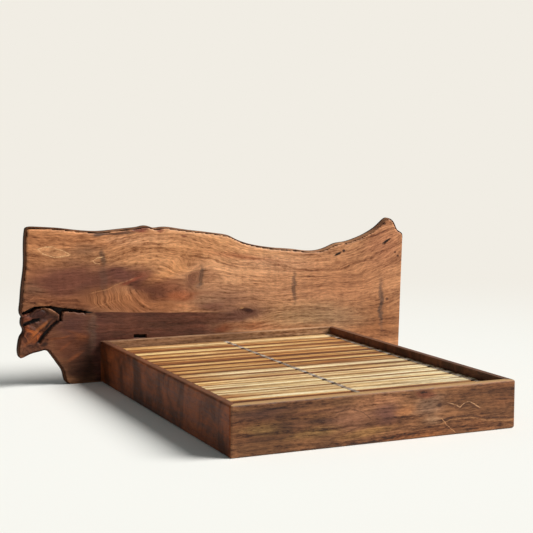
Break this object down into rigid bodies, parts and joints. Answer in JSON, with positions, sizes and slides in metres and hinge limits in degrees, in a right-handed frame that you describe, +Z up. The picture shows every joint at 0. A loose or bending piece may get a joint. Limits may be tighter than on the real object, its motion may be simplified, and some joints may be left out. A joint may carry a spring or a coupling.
{
  "type": "live edge bed",
  "caption": "Low platform bed of mitred boards round a lift-out slatted deck, with one wide live-edge plank standing behind it as the headboard.",
  "frame": {"origin": "on the floor, under the middle of the bed's overall box", "axes": "+X to the right along the headboard, +Y from the foot to the headboard, +Z up"},
  "size_m": [2.7018, 2.183, 0.9896],
  "materials": {
    "plank_wood": "oiled figured hardwood with a live edge",
    "rail_wood": "oiled brown hardwood",
    "slat_wood": "raw pale softwood",
    "support_wood": "raw planed softwood",
    "webbing": "woven grey tape",
    "staple_steel": "dulled wire",
    "hanger_steel": "black powder coat",
    "zinc_steel": "zinc plated",
    "insert_brass": "plain",
    "glide_plastic": "matte"
  },
  "bodies": {
    "bed_frame": {"headboard_slab": "plank_wood", "foot_rail": "rail_wood", "left_side_rail": "rail_wood", "right_side_rail": "rail_wood", "head_rail": "rail_wood", "left_ledger": "support_wood", "right_ledger": "support_wood", "front_left_corner_block": "support_wood", "front_right_corner_block": "support_wood", "rear_left_corner_block": "support_wood", "rear_right_corner_block": "support_wood", "centre_beam": "support_wood", "centre_leg_1": "support_wood", "centre_leg_2": "support_wood", "centre_leg_3": "support_wood", "front_beam_hanger": "hanger_steel", "rear_beam_hanger": "hanger_steel", "corner_bolts": "zinc_steel", "corner_washers": "zinc_steel", "corner_screws": "zinc_steel", "ledger_screws": "zinc_steel", "hanger_screws": "zinc_steel", "headboard_bolts": "zinc_steel", "headboard_washers": "zinc_steel", "leg_bolts": "zinc_steel", "headboard_inserts": "insert_brass", "leg_glides": "glide_plastic"},
    "slat_roll": {"slat_01": "slat_wood", "slat_02": "slat_wood", "slat_03": "slat_wood", "slat_04": "slat_wood", "slat_05": "slat_wood", "slat_06": "slat_wood", "slat_07": "slat_wood", "slat_08": "slat_wood", "slat_09": "slat_wood", "slat_10": "slat_wood", "slat_11": "slat_wood", "slat_12": "slat_wood", "slat_13": "slat_wood", "slat_14": "slat_wood", "slat_15": "slat_wood", "slat_16": "slat_wood", "slat_17": "slat_wood", "slat_18": "slat_wood", "webbing_left": "webbing", "webbing_centre": "webbing", "webbing_right": "webbing", "webbing_staples": "staple_steel"}
  },
  "joints": [
    {"name": "slat_roll_lift", "type": "slide", "parent": "bed_frame", "child": "slat_roll", "axis": [0, 0, 1], "range_m": [0, 0.25]}
  ]
}
